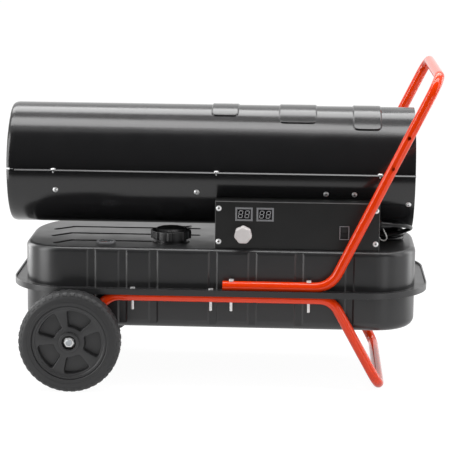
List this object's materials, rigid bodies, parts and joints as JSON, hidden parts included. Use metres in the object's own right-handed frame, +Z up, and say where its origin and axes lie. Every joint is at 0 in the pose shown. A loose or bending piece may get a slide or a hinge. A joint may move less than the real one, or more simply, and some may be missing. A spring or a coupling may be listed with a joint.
{
  "type": "oil-fired forced-air heater",
  "caption": "Wheeled forced-air heater: a round barrel with burner and fan on a flanged fuel tank, with control box, tube frame, push handle and wheels; burns oil and blows hot air.",
  "frame": {"origin": "on the ground, under the middle of the heater's box in length and in width, without the power cord", "axes": "+X from the hot-air outlet towards the push handle, +Y away from the side with the control box, +Z up"},
  "size_m": [0.857, 0.492, 0.631],
  "materials": {
    "black_paint": "semi-gloss",
    "orange_paint": "gloss",
    "zinc": "satin",
    "screw_steel": "gloss",
    "heat_steel": "satin",
    "brass": "satin",
    "ceramic": "gloss",
    "motor_paint": "satin",
    "cast_aluminium": "cast",
    "fan_aluminium": "satin",
    "rotor_grey": "matte",
    "black_plastic": "matte",
    "wheel_plastic": "matte",
    "tyre_black": "matte",
    "clear_lens": "clear",
    "display_grey": "gloss",
    "knob_white": "satin",
    "board_green": "gloss",
    "hose_rubber": "matte",
    "cord_rubber": "satin",
    "seal_rubber": "matte",
    "tie_grey": "matte",
    "black_wire": "satin",
    "float_plastic": "matte",
    "pointer_red": "matte"
  },
  "bodies": {
    "chassis": {"tank_lower": "black_paint", "tank_upper": "black_paint", "filler_neck": "black_paint", "gauge_housing": "black_plastic", "gauge_lens": "clear_lens", "drain_plug": "zinc", "lower_frame": "orange_paint", "push_handle": "orange_paint", "axle": "zinc", "axle_spacers": "zinc", "axle_nuts": "zinc", "frame_bolts": "zinc", "barrel_lower": "black_paint", "barrel_upper": "black_paint", "front_saddle": "zinc", "rear_saddle": "zinc", "combustion_chamber": "heat_steel", "outlet_baffle": "heat_steel", "chamber_brackets": "heat_steel", "heat_shield": "heat_steel", "burner_head": "heat_steel", "nozzle": "brass", "igniter": "ceramic", "flame_sensor": "black_plastic", "motor_body": "motor_paint", "motor_bracket": "zinc", "pump_body": "cast_aluminium", "filter_cover": "black_plastic", "inlet_guard": "black_wire", "control_box": "black_paint", "control_panel": "black_paint", "displays": "display_grey", "thermostat": "black_plastic", "switch_body": "black_plastic", "circuit_board": "board_green", "ignition_coil": "black_plastic", "panel_screws": "screw_steel", "barrel_screws": "screw_steel", "fuel_line": "hose_rubber", "air_line": "hose_rubber", "cord_gland": "cord_rubber", "cord_lead": "cord_rubber", "cord_hank": "cord_rubber", "cord_tie": "tie_grey", "cord_tail": "cord_rubber", "plug_body": "cord_rubber", "plug_pins": "brass"},
    "wheel_near": {"wheel_rim_near": "wheel_plastic", "wheel_tyre_near": "tyre_black"},
    "wheel_far": {"wheel_rim_far": "wheel_plastic", "wheel_tyre_far": "tyre_black"},
    "rotor": {"fan": "fan_aluminium", "motor_shaft": "zinc", "pump_rotor": "rotor_grey"},
    "knob": {"thermostat_knob": "knob_white"},
    "switch_rocker": {"rocker": "black_plastic"},
    "cap_seal": {"cap_gasket": "seal_rubber"},
    "cap": {"fuel_cap": "black_plastic"},
    "float": {"float_arm": "float_plastic"},
    "pointer": {"gauge_pointer": "pointer_red"}
  },
  "joints": [
    {"name": "wheel_near_spin", "type": "hinge", "parent": "chassis", "child": "wheel_near", "pos_m": [-0.29, -0.225, 0.1], "axis": [0, 1, 0], "continuous": true},
    {"name": "wheel_far_spin", "type": "hinge", "parent": "chassis", "child": "wheel_far", "pos_m": [-0.29, 0.225, 0.1], "axis": [0, 1, 0], "continuous": true},
    {"name": "fan_spin", "type": "hinge", "parent": "chassis", "child": "rotor", "pos_m": [0.243, 0, 0.419], "axis": [1, 0, 0], "continuous": true},
    {"name": "knob_turn", "type": "hinge", "parent": "chassis", "child": "knob", "pos_m": [0.0445, -0.17, 0.306], "axis": [0, 1, 0], "range_deg": [-135, 135]},
    {"name": "rocker_tilt", "type": "hinge", "parent": "chassis", "child": "switch_rocker", "pos_m": [0.2425, -0.157, 0.312], "axis": [1, 0, 0], "range_deg": [0, 14]},
    {"name": "cap_lift", "type": "slide", "parent": "chassis", "child": "cap_seal", "axis": [0, 0, 1], "range_m": [0, 0.0075]},
    {"name": "cap_twist", "type": "hinge", "parent": "cap_seal", "child": "cap", "pos_m": [-0.102, -0.093, 0.29], "axis": [0, 0, 1], "range_deg": [0, 90]},
    {"name": "float_swing", "type": "hinge", "parent": "chassis", "child": "float", "pos_m": [-0.23, -0.118, 0.1994], "axis": [0, -1, 0], "range_deg": [0, 88]},
    {"name": "gauge_turn", "type": "hinge", "parent": "chassis", "child": "pointer", "pos_m": [-0.23, -0.118, 0.277], "axis": [0, 0, 1], "range_deg": [0, 88]}
  ],
  "couplings": [
    {"joint": "gauge_turn", "follows": "float_swing", "ratio": 1}
  ]
}
